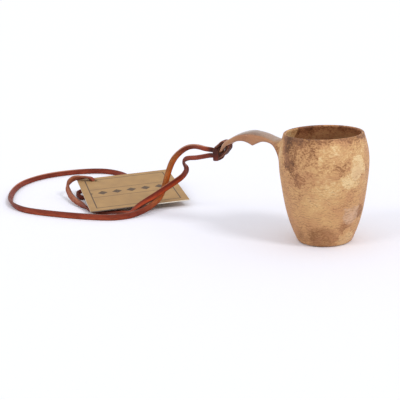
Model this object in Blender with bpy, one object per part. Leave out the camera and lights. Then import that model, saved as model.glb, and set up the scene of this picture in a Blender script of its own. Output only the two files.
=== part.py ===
"""Small wooden drinking cup with a carved handle, a leather lace hitched through
the handle's tip, and a square card tag threaded on the lace.

Metres, +Z up. The origin is the middle of the cup's flat base, the handle points
to -X, and the lace and the tag lie on the same table as the cup.
"""

import math

import bmesh
import bpy
import numpy as np
from mathutils import Matrix, Vector

MM = 0.001

# Cup body: outside radii and the heights at which they are met
CUP_HEIGHT = 57.0 * MM
BASE_RADIUS = 12.3 * MM
FOOT_FILLET = 2.6 * MM
FOOT_FLARE = math.radians(21.5)
LOW_FLANK_RADIUS = 17.6 * MM
LOW_FLANK_HEIGHT = 9.0 * MM
MID_FLANK_RADIUS = 20.0 * MM
MID_FLANK_HEIGHT = 18.0 * MM
HIGH_FLANK_RADIUS = 21.95 * MM
HIGH_FLANK_HEIGHT = 30.0 * MM
BELLY_RADIUS = 23.0 * MM
BELLY_HEIGHT = 42.0 * MM
RIM_RADIUS = 20.3 * MM

# Cup wall
LIP_THICKNESS = 1.6 * MM
WALL_THICKNESS = 2.3 * MM
FLOOR_THICKNESS = 4.5 * MM
INNER_FILLET = 9.0 * MM

# Handle ribs, from the cup's wall to the tip. Each is, in millimetres, the reach of
# its top beyond the belly and the drop of its top below the rim, the same for its
# underside, and its half width. The pointed rib parts the two finger arches.
HANDLE_RIBS = [
    (-2.1, 5.6, -2.1, 17.5, 7.0),
    (0.0, 5.6, 0.3, 12.6, 6.4),
    (2.2, 5.3, 2.0, 9.4, 5.9),
    (4.6, 4.7, 4.3, 7.1, 5.5),
    (7.8, 3.5, 8.0, 6.1, 5.5),
    (11.0, 2.4, 11.2, 6.6, 5.9),
    (14.2, 1.7, 14.6, 8.3, 6.5),
    (17.5, 1.5, 17.4, 6.8, 6.9),
    (21.5, 2.2, 20.9, 6.1, 7.0),
    (25.3, 3.6, 24.7, 6.8, 6.8),
    (29.0, 5.6, 27.9, 8.3, 6.4),
    (32.5, 8.0, 30.9, 9.7, 5.9),
    (34.6, 10.6, 33.2, 11.9, 4.9),
    (35.8, 11.9, 34.5, 13.1, 3.9),
    (36.7, 13.1, 35.7, 14.0, 2.7),
    (37.1, 13.9, 36.6, 14.4, 1.2),
]
POINTED_RIB_INDEX = 6
HOLE_RIB_INDEX = 11
HOLE_RADIUS = 3.2 * MM
RIB_STEPS = 3
HANDLE_SIDES = 24
ROOT_POWER = 2.0
SECTION_POWER = 2.6
ROOT_RIB_COUNT = 4

# Leather lace, cut as a flat strip and pinched narrower where it is drawn tight
LACE_WIDTH = 3.1 * MM
STRAND_WIDTH = 2.6 * MM
LACE_THICKNESS = 1.5 * MM
LACE_CORNER = 0.4 * MM
PIECE_GAP = 0.3 * MM
SWING_GAP = 0.46 * MM
TABLE_GAP = 0.05 * MM

# Where the two strands leave the hitch, measured from the middle of the hole
PIVOT_REACH = 13.8 * MM
UPPER_EXIT_DROP = 4.25 * MM
LOWER_EXIT_DROP = 8.1 * MM
LOOP_END_REACH = 12.2 * MM
LOOP_END_DROP = 1.7 * MM
LOOP_END_WIDTH = 2.7 * MM

# Square card tag with a round hole near one corner
TAG_SIDE = 60.0 * MM
TAG_THICKNESS = 0.6 * MM
TAG_HOLE_RADIUS = 2.6 * MM
TAG_HOLE_FROM_SIDE = 9.8 * MM
TAG_HOLE_FROM_BACK = 5.2 * MM
TAG_CENTRE = Vector((-142.5, 33.7, 6.5)) * MM
TAG_HEADING = math.radians(43.6)
TAG_LIFT = math.radians(5.7)
TAG_BANK = math.radians(1.0)

# Overhand knot that joins the lace's two ends under the tag. Its tails are given in
# millimetres beyond its outermost lobe, across and up.
KNOT_CENTRE = Vector((-158.0, 52.0, 4.1)) * MM
KNOT_HEADING = math.radians(-125.4)
KNOT_RADIUS = 3.4 * MM
KNOT_SWING = 1.6 * MM
KNOT_RISE = 1.8 * MM
KNOT_WIDTH = 2.6 * MM
KNOT_OPENING = 0.24
KNOT_LONG_TAIL = [
    (25.6, 1.0, 0.7),
    (28.4, 0.2, -0.7),
    (28.2, 3.4, -2.4),
    (21.1, 5.3, -2.45),
    (13.3, 1.9, -0.8),
    (8.0, -1.4, 1.4),
    (3.2, -0.8, 2.4),
]
KNOT_SHORT_TAIL = [
    (3.0, 1.4, -2.3),
    (8.0, 4.2, -2.4),
    (12.0, 6.4, -2.4),
]

# Free lace, in millimetres: places on its middle line and the way its width points
UPPER_STRAND = [
    (-72.6, 1.5, 44.1, -0.1, -0.1, 1.0),
    (-78.5, 5.2, 43.6, -0.25, -0.25, 0.9),
    (-86.8, 10.6, 41.4, -0.45, -0.45, 0.7),
    (-94.9, 15.6, 37.1, -0.6, -0.5, 0.5),
    (-101.8, 19.8, 31.8, -0.72, -0.52, 0.4),
    (-107.5, 23.4, 24.6, -0.8, -0.5, 0.25),
    (-111.5, 25.2, 16.4, -0.85, -0.5, 0.15),
    (-114.0, 25.2, 10.4, -0.85, -0.45, 0.3),
    (-114.0, 20.8, 7.2, -0.7, -0.35, 0.6),
    (-113.8, 13.8, 5.2, -0.5, -0.2, 0.8),
    (-114.6, 7.0, 3.8, -0.3, -0.1, 1.0),
]
FLOOR_LOOP = [
    (-118.2, -0.2, 2.2, 0.0, 0.0, 1.0),
    (-124.3, -8.0, 1.6, 0.0, 0.0, 1.0),
    (-137.5, -13.0, 1.6, 0.0, 0.0, 1.0),
    (-153.6, -15.2, 1.6, 0.0, 0.05, 1.0),
    (-171.0, -16.0, 1.6, 0.0, 0.05, 1.0),
    (-189.5, -14.4, 1.6, -0.1, 0.0, 1.0),
    (-204.4, -6.8, 1.7, -0.4, -0.2, 0.9),
    (-217.6, 7.2, 1.7, -0.55, -0.3, 0.75),
    (-228.6, 25.0, 1.7, -0.4, -0.2, 0.9),
    (-234.4, 43.0, 1.6, -0.1, 0.0, 1.0),
    (-232.5, 60.7, 1.6, 0.1, -0.1, 1.0),
    (-224.4, 74.0, 1.6, 0.1, -0.15, 1.0),
    (-213.5, 83.1, 1.6, 0.05, -0.15, 1.0),
    (-201.6, 87.7, 1.6, 0.0, -0.1, 1.0),
    (-187.9, 85.6, 1.6, 0.0, 0.0, 1.0),
    (-175.8, 78.8, 1.6, 0.0, 0.0, 1.0),
    (-167.6, 69.8, 2.1, 0.0, 0.0, 1.0),
    (-163.3, 62.8, 3.3, 0.0, 0.0, 1.0),
    (-160.7, 57.55, 4.1, 0.0, 0.0, 1.0),
]
LOWER_STRAND = [
    (-72.5, 1.2, 39.0, 0.0, 0.0, -1.0),
    (-78.6, 3.8, 37.5, 0.0, 0.0, -1.0),
    (-85.2, 7.0, 36.0, 0.25, -0.43, -0.87),
    (-88.9, 9.3, 33.7, 0.5, -0.86, -0.1),
    (-90.0, 11.6, 31.1, 0.4, -0.9, 0.15),
    (-90.6, 14.7, 28.3, -0.1, -0.8, 0.5),
    (-93.4, 18.0, 24.8, -0.4, -0.7, 0.5),
    (-98.7, 21.6, 20.5, -0.6, -0.35, 0.7),
    (-104.7, 23.1, 16.6, -0.5, -0.29, 0.8),
    (-111.6, 20.9, 11.8, -0.5, -0.2, 0.8),
    (-114.8, 15.4, 9.0, -0.7, -0.1, 0.6),
    (-117.4, 10.6, 7.0, -0.9, 0.0, 0.35),
    (-119.8, 6.4, 4.9, -0.95, 0.2, 0.2),
]
TAG_LOOP = [
    (-123.2, 4.0, 2.0, -0.7, 0.6, 0.0),
    (-128.2, 4.6, 0.8, -0.3, 0.9, 0.0),
    (-133.5, 3.8, 0.8, -0.35, 0.9, 0.0),
    (-139.5, 0.8, 0.8, -0.3, 0.9, 0.0),
    (-146.5, -0.2, 0.8, 0.2, 0.9, -0.1),
    (-153.0, 2.2, 1.2, 0.4, 0.8, -0.4),
    (-159.0, 5.4, 2.0, 0.15, 0.2, -0.9),
    (-166.0, 9.2, 2.5, -0.3, -0.3, -0.85),
    (-175.0, 15.6, 3.1, -0.44, -0.45, -0.75),
    (-183.4, 22.9, 5.2, -0.35, -0.3, -0.9),
    (-187.0, 27.6, 7.9, -0.2, -0.1, -1.0),
    (-186.0, 32.0, 10.4, -0.1, 0.4, -0.9),
    (-180.8, 35.0, 11.1, 0.0, 0.85, -0.5),
    (-175.7, 36.9, 10.5, 0.0, 1.0, -0.2),
]
TAG_TAIL = [
    (-173.7, 37.9, 6.5, 0.2, 1.0, 0.0),
    (-171.6, 41.0, 5.4, 0.8, 0.6, 0.0),
    (-168.0, 47.6, 5.4, 0.8, 0.5, -0.2),
    (-163.2, 52.3, 5.6, 0.5, 0.6, -0.6),
]

# Facets: steps round the cup and lengths between sections of the lace
ROUND_STEPS = 72
HITCH_STEP = 1.3 * MM
STRAND_STEP = 2.3 * MM
LOOP_STEP = 4.5 * MM
KNOT_STEP = 1.3 * MM


def clear_scene():
    for obj in list(bpy.data.objects):
        bpy.data.objects.remove(obj, do_unlink=True)


def material(name, colour, roughness):
    mat = bpy.data.materials.new(name)
    mat.use_nodes = True
    shader = mat.node_tree.nodes["Principled BSDF"]
    shader.inputs["Base Color"].default_value = (*colour, 1.0)
    shader.inputs["Roughness"].default_value = roughness
    shader.inputs["Metallic"].default_value = 0.0
    return mat


def mesh_object(name, verts, faces, mat=None, origin=Vector()):
    """Object at origin from points in world coordinates, its faces turned outwards."""
    mesh = bpy.data.meshes.new(name)
    mesh.from_pydata([Vector(v) - origin for v in verts], [], faces)
    bm = bmesh.new()
    bm.from_mesh(mesh)
    bmesh.ops.recalc_face_normals(bm, faces=bm.faces)
    bm.to_mesh(mesh)
    bm.free()
    mesh.shade_smooth()
    mesh.set_sharp_from_angle(angle=math.radians(40.0))
    if mat:
        mesh.materials.append(mat)
    obj = bpy.data.objects.new(name, mesh)
    obj.location = origin
    bpy.context.collection.objects.link(obj)
    return obj


def cutter(obj):
    obj.hide_render = True
    obj.display_type = "WIRE"
    return obj


def cubic_through(knots, rows):
    """Natural cubic spline through rows at knots, as a function of the knot value."""
    knots = np.asarray(knots, float)
    rows = np.asarray(rows, float)
    count = len(knots)
    step = np.diff(knots)
    system = np.eye(count)
    right = np.zeros(rows.shape)
    for i in range(1, count - 1):
        system[i, i - 1] = step[i - 1]
        system[i, i] = 2.0 * (step[i - 1] + step[i])
        system[i, i + 1] = step[i]
        rise_after = (rows[i + 1] - rows[i]) / step[i]
        rise_before = (rows[i] - rows[i - 1]) / step[i - 1]
        right[i] = 6.0 * (rise_after - rise_before)
    bend = np.linalg.solve(system, right)

    def value(t):
        i = int(np.clip(np.searchsorted(knots, t) - 1, 0, count - 2))
        h = step[i]
        a = (knots[i + 1] - t) / h
        b = (t - knots[i]) / h
        curve = (a ** 3 - a) * bend[i] + (b ** 3 - b) * bend[i + 1]
        return a * rows[i] + b * rows[i + 1] + curve * h * h / 6.0

    return value


def ring_loft(rings):
    """Faces of a closed body through rings of equal length, with flat ends."""
    sides = len(rings[0])
    verts = [point for ring in rings for point in ring]
    faces = [tuple(range(sides))]
    for i in range(len(rings) - 1):
        for j in range(sides):
            k = (j + 1) % sides
            faces.append((i * sides + j, (i + 1) * sides + j,
                          (i + 1) * sides + k, i * sides + k))
    last = (len(rings) - 1) * sides
    faces.append(tuple(range(last + sides - 1, last - 1, -1)))
    return verts, faces


def lathe(profile, steps):
    """Closed turned body from (radius, height) points that start and end on the axis."""
    verts = [(0.0, 0.0, profile[0][1]), (0.0, 0.0, profile[-1][1])]
    rings = []
    for radius, height in profile[1:-1]:
        rings.append(range(len(verts), len(verts) + steps))
        for j in range(steps):
            angle = 2.0 * math.pi * j / steps
            verts.append((radius * math.cos(angle), radius * math.sin(angle), height))
    faces = []
    for j in range(steps):
        k = (j + 1) % steps
        faces.append((0, rings[0][j], rings[0][k]))
        faces.append((1, rings[-1][k], rings[-1][j]))
        for low, high in zip(rings, rings[1:]):
            faces.append((low[j], high[j], high[k], low[k]))
    return verts, faces


def arc(centre, radius, start, end, count):
    """Points of an arc in the (radius, height) plane, angles in radians."""
    points = []
    for i in range(count + 1):
        angle = start + (end - start) * i / count
        points.append((centre[0] + radius * math.cos(angle),
                       centre[1] + radius * math.sin(angle)))
    return points


def outside_radius():
    """Outside radius of the cup as a function of height, above the foot's fillet."""
    foot_radius = BASE_RADIUS + FOOT_FILLET * math.cos(FOOT_FLARE)
    foot_height = FOOT_FILLET * (1.0 - math.sin(FOOT_FLARE))
    heights = [foot_height, LOW_FLANK_HEIGHT, MID_FLANK_HEIGHT, HIGH_FLANK_HEIGHT, BELLY_HEIGHT]
    radii = [foot_radius, LOW_FLANK_RADIUS, MID_FLANK_RADIUS, HIGH_FLANK_RADIUS, BELLY_RADIUS]
    shoulder_rise = CUP_HEIGHT - BELLY_HEIGHT
    for share in (0.5, 1.0):
        heights.append(BELLY_HEIGHT + share * shoulder_rise)
        radii.append(BELLY_RADIUS + (RIM_RADIUS - BELLY_RADIUS) * share ** 2)
    flank = cubic_through(heights, np.array(radii)[:, None])
    return lambda height: float(flank(height)[0])


def wall_at(height):
    """Wall thickness: full up to the belly, thinning evenly to the lip."""
    share = max(0.0, (height - BELLY_HEIGHT) / (CUP_HEIGHT - BELLY_HEIGHT))
    return WALL_THICKNESS + (LIP_THICKNESS - WALL_THICKNESS) * share


def cup_profile():
    radius = outside_radius()
    lip = LIP_THICKNESS / 2.0
    lip_height = CUP_HEIGHT - lip
    dish_height = FLOOR_THICKNESS + INNER_FILLET
    dish_radius = radius(dish_height) - wall_at(dish_height)

    profile = [(0.0, 0.0)]
    profile += arc((BASE_RADIUS, FOOT_FILLET), FOOT_FILLET, -math.pi / 2.0, -FOOT_FLARE, 4)
    foot_height = FOOT_FILLET * (1.0 - math.sin(FOOT_FLARE))
    outside_steps = 18
    for i in range(1, outside_steps):
        height = foot_height + (lip_height - foot_height) * i / outside_steps
        profile.append((radius(height), height))
    lip_middle = radius(lip_height) - lip
    profile += arc((lip_middle, lip_height), lip, 0.0, math.pi, 6)
    inside_steps = 13
    for i in range(1, inside_steps):
        height = lip_height + (dish_height - lip_height) * i / inside_steps
        profile.append((radius(height) - wall_at(height), height))
    dish_centre = (dish_radius - INNER_FILLET, dish_height)
    profile += arc(dish_centre, INNER_FILLET, 0.0, -math.pi / 2.0, 6)
    profile.append((0.0, FLOOR_THICKNESS))
    return profile


def rib_points(rib):
    """Top and underside of a rib in world coordinates, on the cup's mid plane."""
    top_reach, top_drop, low_reach, low_drop, _ = rib
    top = Vector((-BELLY_RADIUS - top_reach * MM, 0.0, CUP_HEIGHT - top_drop * MM))
    low = Vector((-BELLY_RADIUS - low_reach * MM, 0.0, CUP_HEIGHT - low_drop * MM))
    return top, low


def handle_rings():
    """Rounded sections lofted along the ribs, with a crease at the pointed rib."""
    ends = [rib_points(rib) for rib in HANDLE_RIBS]
    knots = list(range(len(HANDLE_RIBS)))
    tops = cubic_through(knots, [tuple(top) for top, _ in ends])
    halves = cubic_through(knots, [(rib[4] * MM,) for rib in HANDLE_RIBS])
    lows = [tuple(low) for _, low in ends]
    root_arch = cubic_through(knots[:POINTED_RIB_INDEX + 1], lows[:POINTED_RIB_INDEX + 1])
    tip_arch = cubic_through(knots[POINTED_RIB_INDEX:], lows[POINTED_RIB_INDEX:])
    rings = []
    for i in range((len(knots) - 1) * RIB_STEPS + 1):
        t = i / RIB_STEPS
        top = tops(t)
        low = root_arch(t) if t <= POINTED_RIB_INDEX else tip_arch(t)
        middle = (top + low) / 2.0
        up = (top - low) / 2.0
        half = float(halves(t)[0])
        power = ROOT_POWER + (SECTION_POWER - ROOT_POWER) * min(1.0, t / ROOT_RIB_COUNT)
        ring = []
        for j in range(HANDLE_SIDES):
            angle = 2.0 * math.pi * j / HANDLE_SIDES
            across = half * rounded(math.cos(angle), power)
            point = middle + up * rounded(math.sin(angle), power)
            ring.append((point[0], across, point[2]))
        rings.append(ring)
    return rings


def rounded(value, power):
    """Superellipse coordinate for a circle's coordinate."""
    return math.copysign(abs(value) ** (2.0 / power), value)


def hole_frame():
    """Hole in the handle's tip: its middle, the way to the tip and the way out of the top."""
    top, low = rib_points(HANDLE_RIBS[HOLE_RIB_INDEX])
    out = (top - low).normalized()
    to_tip = Vector((-out.z, 0.0, out.x))
    return (top + low) / 2.0, to_tip, out


def make_cup(mat):
    verts, faces = lathe(cup_profile(), ROUND_STEPS)
    cup = mesh_object("cup", verts, faces, mat)
    handle = cutter(mesh_object("handle_form", *ring_loft(handle_rings())))

    centre, _, out = hole_frame()
    bore_length = 20.0 * MM
    bore_mesh = bpy.data.meshes.new("lace_hole_form")
    bm = bmesh.new()
    bmesh.ops.create_cone(bm, cap_ends=True, segments=24, radius1=HOLE_RADIUS,
                          radius2=HOLE_RADIUS, depth=bore_length)
    bm.to_mesh(bore_mesh)
    bm.free()
    bore = cutter(bpy.data.objects.new("lace_hole_form", bore_mesh))
    bore.rotation_mode = "QUATERNION"
    bore.rotation_quaternion = out.to_track_quat("Z", "Y")
    bore.location = centre
    bpy.context.collection.objects.link(bore)

    for tool, operation in ((handle, "UNION"), (bore, "DIFFERENCE")):
        cut = cup.modifiers.new(tool.name, "BOOLEAN")
        cut.operation = operation
        cut.object = tool
    return cup


def strip_section(width):
    """Corner-cut rectangle in (across, through) coordinates."""
    w = width / 2.0
    t = LACE_THICKNESS / 2.0
    c = LACE_CORNER
    return [(w, t - c), (w - c, t), (c - w, t), (-w, t - c),
            (-w, c - t), (c - w, -t), (w - c, -t), (w, c - t)]


def lace_curve(route):
    """Smooth curve through a route of (place, way its width points, width) rows."""
    rows = np.array([(*place, *width_way, width) for place, width_way, width in route])
    chords = np.linalg.norm(np.diff(rows[:, :3], axis=0), axis=1)
    knots = np.concatenate([[0.0], np.cumsum(chords)])
    return cubic_through(knots, rows), knots


def strip(name, curve, start, end, step, mat, origin=Vector()):
    """Flat lace along a stretch of a curve, never dipping into the table."""
    count = max(2, round((end - start) / step))
    nudge = 0.01 * MM
    rings = []
    for i in range(count + 1):
        t = start + (end - start) * i / count
        row = curve(t)
        along = Vector(curve(t + nudge)[:3] - curve(t - nudge)[:3]).normalized()
        across = Vector(row[3:6])
        across = (across - along * across.dot(along)).normalized()
        through = along.cross(across)
        width = row[6]
        half_height = (abs(across.z) * width + abs(through.z) * LACE_THICKNESS) / 2.0
        centre = Vector(row[:3])
        centre.z = max(centre.z, half_height + TABLE_GAP)
        rings.append([centre + across * a + through * b
                      for a, b in strip_section(width)])
    return mesh_object(name, *ring_loft(rings), mat, origin)


def exit_places():
    """Where the upper and the lower strand cross the upright pivot line."""
    centre, _, _ = hole_frame()
    pivot_x = centre.x - PIVOT_REACH
    return (Vector((pivot_x, 0.0, centre.z - UPPER_EXIT_DROP)),
            Vector((pivot_x, 0.0, centre.z - LOWER_EXIT_DROP)))


def hitch_half(exit_place, hand):
    """Hitch from a strand's exit to the loop's end: under the tip, up through the
    hole, over the tip and down past its side. The strand turns on edge on its way
    out, the upper one above the lower. Rows are distances in millimetres from the
    hole to the tip, across and out of the top, the way of the width, and the width."""
    centre, to_tip, out = hole_frame()
    side = Vector((0.0, 1.0, 0.0))
    rows = [
        (11.4 - 0.8 * hand, 1.15, 2.25 + 0.85 * hand, (-0.66 * hand, 0.2 * hand, 0.75 * hand), 2.5),
        (9.1 - 0.45 * hand, 1.25, 0.25 * hand - 0.8, (-0.48 * hand, 0.7 * hand, 0.51 * hand), 2.2),
        (6.4, 1.3, -3.05, (0.0, hand, 0.0), 2.2),
        (4.0, 1.3, -3.15, (0.0, hand, 0.0), 2.2),
        (1.6, 1.3, -2.3, (0.0, hand, 0.0), 2.2),
        (0.2, 1.3, 0.0, (0.0, hand, 0.0), 2.2),
        (1.4, 1.3, 2.1, (0.0, hand, 0.0), 2.2),
        (4.0, 1.35, 2.5, (0.0, hand, 0.0), 2.2),
        (6.4, 1.9, 2.4, (0.25, hand, 0.1), 2.4),
        (7.7, 2.9, 1.4, (0.8, 0.5 * hand, 0.4), 2.9),
        (8.7, 3.6, -0.3, (1.0, 0.0, 0.3), 3.4),
        (10.4, 3.25, -1.7, (0.85, 0.1 * hand, 0.55), 3.1),
    ]
    route = [(exit_place, (0.0, 0.0, hand), STRAND_WIDTH)]
    for along, across, up, way, width in rows:
        place = centre + (to_tip * along + side * across * hand + out * up) * MM
        width_way = to_tip * way[0] + side * way[1] + out * way[2]
        route.append((place, tuple(width_way), width * MM))
    return route


def hitch_rows():
    """Cow hitch: the lace's middle forms one loop, which goes up through the hole and
    closes round the two strands beyond the tip."""
    centre, to_tip, out = hole_frame()
    upper_exit, lower_exit = exit_places()
    loop_end = centre + to_tip * LOOP_END_REACH - out * LOOP_END_DROP
    loop_way = to_tip * 0.75 + out * 0.65
    rows = hitch_half(upper_exit, 1.0)
    rows.append((loop_end, tuple(loop_way), LOOP_END_WIDTH))
    rows += reversed(hitch_half(lower_exit, -1.0))
    return rows


def tag_axes():
    """The tag's own axes: along its back edge, towards its back edge, and out of its face."""
    along = Vector((math.cos(TAG_HEADING) * math.cos(TAG_BANK),
                    math.sin(TAG_HEADING) * math.cos(TAG_BANK), math.sin(TAG_BANK)))
    back = Vector((-math.sin(TAG_HEADING) * math.cos(TAG_LIFT),
                   math.cos(TAG_HEADING) * math.cos(TAG_LIFT), math.sin(TAG_LIFT)))
    back = (back - along * back.dot(along)).normalized()
    return along, back, along.cross(back)


def tag_hole():
    """Middle of the tag's hole."""
    along, back, _ = tag_axes()
    return (TAG_CENTRE + along * (TAG_HOLE_FROM_SIDE - TAG_SIDE / 2.0)
            + back * (TAG_SIDE / 2.0 - TAG_HOLE_FROM_BACK))


def make_tag(mat):
    """Square card, its origin in the middle of its hole."""
    along, back, out = tag_axes()
    left = -TAG_HOLE_FROM_SIDE
    right = TAG_SIDE - TAG_HOLE_FROM_SIDE
    rear = TAG_HOLE_FROM_BACK
    front = TAG_HOLE_FROM_BACK - TAG_SIDE
    half = TAG_THICKNESS / 2.0
    rings = [[(left, front, z), (right, front, z), (right, rear, z), (left, rear, z)]
             for z in (-half, half)]
    tag = mesh_object("hang_tag", *ring_loft(rings), mat)

    bore_mesh = bpy.data.meshes.new("tag_hole_form")
    bm = bmesh.new()
    bmesh.ops.create_cone(bm, cap_ends=True, segments=32, radius1=TAG_HOLE_RADIUS,
                          radius2=TAG_HOLE_RADIUS, depth=10.0 * TAG_THICKNESS)
    bm.to_mesh(bore_mesh)
    bm.free()
    bore = cutter(bpy.data.objects.new("tag_hole_form", bore_mesh))
    bpy.context.collection.objects.link(bore)
    cut = tag.modifiers.new("hole", "BOOLEAN")
    cut.operation = "DIFFERENCE"
    cut.object = bore

    frame = Matrix((along, back, out)).transposed().to_4x4()
    frame.translation = tag_hole()
    tag.matrix_world = frame
    bore.matrix_world = frame
    return tag


def free_rows(rows, width):
    """Route rows from a list of places in millimetres and width ways."""
    return [(Vector(row[:3]) * MM, row[3:], width) for row in rows]


def make_lace(mat, pivot):
    """One lace from the knot round the table to the hitch and back to the knot, cut
    where a strand leaves the hitch and where it reaches the table."""
    floor_loop = free_rows(reversed(FLOOR_LOOP), LACE_WIDTH)
    upper_strand = free_rows(reversed(UPPER_STRAND), STRAND_WIDTH)
    hitch = hitch_rows()
    lower_strand = free_rows(LOWER_STRAND, STRAND_WIDTH)
    hole = [(tag_hole(), (0.0, 1.0, -0.1), LACE_WIDTH)]
    tag_loop = free_rows(TAG_LOOP, LACE_WIDTH) + hole + free_rows(TAG_TAIL, LACE_WIDTH)
    curve, knots = lace_curve(floor_loop + upper_strand + hitch + lower_strand + tag_loop)

    upper_cut = len(floor_loop)
    upper_exit = upper_cut + len(upper_strand)
    lower_exit = upper_exit + len(hitch) - 1
    lower_cut = lower_exit + len(lower_strand)
    cuts = [(0, 0.0), (upper_cut, PIECE_GAP), (upper_exit, SWING_GAP),
            (lower_exit, SWING_GAP), (lower_cut, PIECE_GAP), (len(knots) - 1, 0.0)]
    pieces = [("lace_floor_loop", LOOP_STEP, pivot), ("lace_upper_strand", STRAND_STEP, pivot),
              ("lace_hitch", HITCH_STEP, Vector()), ("lace_lower_strand", STRAND_STEP, pivot),
              ("lace_tag_loop", STRAND_STEP, pivot)]
    for (name, step, origin), (first, gap_before), (last, gap_after) in zip(pieces, cuts, cuts[1:]):
        start = knots[first] + gap_before / 2.0
        end = knots[last] - gap_after / 2.0
        strip(name, curve, start, end, step, mat, origin)


def knot_route():
    """Overhand knot: a trefoil opened at one lobe, its two tails crossing as they leave."""
    turn = Matrix.Rotation(KNOT_HEADING, 3, "Z")
    lobe = KNOT_RADIUS + KNOT_SWING
    places = [Vector((lobe + x * MM, y * MM, z * MM)) for x, y, z in KNOT_LONG_TAIL]
    count = 24
    for i in range(count + 1):
        t = KNOT_OPENING + (2.0 * math.pi - 2.0 * KNOT_OPENING) * i / count
        radius = KNOT_RADIUS + KNOT_SWING * math.cos(3.0 * t)
        places.append(Vector((radius * math.cos(2.0 * t), radius * math.sin(2.0 * t),
                              KNOT_RISE * math.sin(3.0 * t))))
    places += [Vector((lobe + x * MM, y * MM, z * MM)) for x, y, z in KNOT_SHORT_TAIL]
    return [(KNOT_CENTRE + turn @ place, (0.1, 0.1, 1.0), KNOT_WIDTH) for place in places]


def main():
    clear_scene()
    wood = material("burl_wood", (0.42, 0.26, 0.13), 0.5)
    leather = material("brown_leather", (0.20, 0.065, 0.03), 0.45)
    card = material("kraft_card", (0.47, 0.33, 0.18), 0.8)

    make_cup(wood)
    pivot = exit_places()[0]
    make_lace(leather, pivot)
    curve, knots = lace_curve(knot_route())
    strip("lace_knot", curve, 0.0, knots[-1], KNOT_STEP, leather, pivot)
    make_tag(card)


main()
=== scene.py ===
"""Looks of the small wooden cup, its leather lace and its card tag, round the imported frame.

Objects are in metres in the frame's axes. Shapes are worked out in millimetres.
"""

import itertools
import math

import bmesh
import bpy
import numpy as np
from mathutils import Matrix, Vector


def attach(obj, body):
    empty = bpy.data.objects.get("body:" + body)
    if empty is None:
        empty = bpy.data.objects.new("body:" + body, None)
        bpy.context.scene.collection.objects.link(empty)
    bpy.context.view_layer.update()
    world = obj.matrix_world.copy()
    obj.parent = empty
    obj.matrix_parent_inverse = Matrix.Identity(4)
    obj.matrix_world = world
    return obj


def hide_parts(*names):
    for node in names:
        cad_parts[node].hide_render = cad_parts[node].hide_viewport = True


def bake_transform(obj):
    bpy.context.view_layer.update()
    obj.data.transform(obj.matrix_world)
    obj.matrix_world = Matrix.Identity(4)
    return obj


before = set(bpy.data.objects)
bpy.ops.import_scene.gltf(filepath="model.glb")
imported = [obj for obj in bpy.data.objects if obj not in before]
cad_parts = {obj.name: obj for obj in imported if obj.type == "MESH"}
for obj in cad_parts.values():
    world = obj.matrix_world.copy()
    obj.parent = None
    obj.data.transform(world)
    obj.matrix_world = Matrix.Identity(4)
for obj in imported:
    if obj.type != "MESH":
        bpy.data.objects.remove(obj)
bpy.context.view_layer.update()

MM = 0.001

# Camera: place, heading to the left of +Y, pitch down, roll, lens and sensor in millimetres,
# and the nearest distance that it shows
CAMERA_PLACE = Vector((181.4, -442.5, 149.2)) * MM
CAMERA_HEADING = math.radians(30.0)
CAMERA_PITCH = math.radians(14.763)
CAMERA_ROLL = math.radians(2.625)
CAMERA_LENS = 85.5
CAMERA_SENSOR = 36.0
CAMERA_NEAR = 0.01

# Cup body in millimetres: outside radii and the heights at which they are met
CUP_HEIGHT = 57.0
BASE_RADIUS = 12.3
FOOT_FILLET = 2.6
FOOT_FLARE = math.radians(21.5)
FLANK = [(17.6, 9.0), (20.0, 18.0), (21.95, 30.0)]
BELLY_RADIUS = 23.0
BELLY_HEIGHT = 42.0
RIM_RADIUS = 20.3
LIP_THICKNESS = 1.6
WALL_THICKNESS = 2.3
FLOOR_THICKNESS = 4.5
INNER_FILLET = 9.0

# Handle ribs: reach of the top beyond the belly, its drop below the rim, the same for
# the underside, and half the width. The pointed rib parts the two finger arches.
HANDLE_RIBS = [
    (-2.1, 5.6, -2.1, 17.5, 7.0),
    (0.0, 5.6, 0.3, 12.6, 6.4),
    (2.2, 5.3, 2.0, 9.4, 5.9),
    (4.6, 4.7, 4.3, 7.1, 5.5),
    (7.8, 3.5, 8.0, 6.1, 5.5),
    (11.0, 2.4, 11.2, 6.6, 5.9),
    (14.2, 1.7, 14.6, 8.3, 6.5),
    (17.5, 1.5, 17.4, 6.8, 6.9),
    (21.5, 2.2, 20.9, 6.1, 7.0),
    (25.3, 3.6, 24.7, 6.8, 6.8),
    (29.0, 5.6, 27.9, 8.3, 6.4),
    (32.5, 8.0, 30.9, 9.7, 5.9),
    (34.6, 10.6, 33.2, 11.9, 4.9),
    (35.8, 11.9, 34.5, 13.1, 3.9),
    (36.7, 13.1, 35.7, 14.0, 2.7),
    (37.1, 13.9, 36.6, 14.4, 1.2),
]
POINTED_RIB = 6
HOLE_RIB = 11
HOLE_RADIUS = 3.2
HOLE_CUT = 8.0
RIB_STEPS = 8
HANDLE_ROUNDING = 0.9
HANDLE_CROWN = 0.42
CROWN_SHARE = 1.2
SECTION_POWER = 2.6
ROOT_FILLET = 1.5
HOLE_ROUNDING = 0.5
NET_STEP = 0.5
NET_MARGIN = 2.0
TABLE_STEP = 0.12
TABLE_MARGIN = 7.0
RELAX_ROUNDS = 4

# Leather lace in millimetres
LACE_WIDTH = 3.5
STRAND_WIDTH = 2.6
LACE_THICKNESS = 1.5
LACE_CORNER = 0.35
LACE_CROWN = 0.07
SHARP_ANGLE = math.radians(50.0)
TABLE_GAP = 0.05
STRAND_STEP = 0.9
HITCH_STEP = 0.5
KNOT_STEP = 0.5
PATH_STEP = 4.0
PIVOT_REACH = 13.8
UPPER_EXIT_DROP = 4.25
LOWER_EXIT_DROP = 8.1
LOOP_END_REACH = 12.2
LOOP_END_DROP = 1.7
LOOP_END_WIDTH = 2.7
LOOP_END_WAY = (0.75, 0.65)
BEND_LEAD = 4.0
BEND_RUN = 8.0

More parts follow.
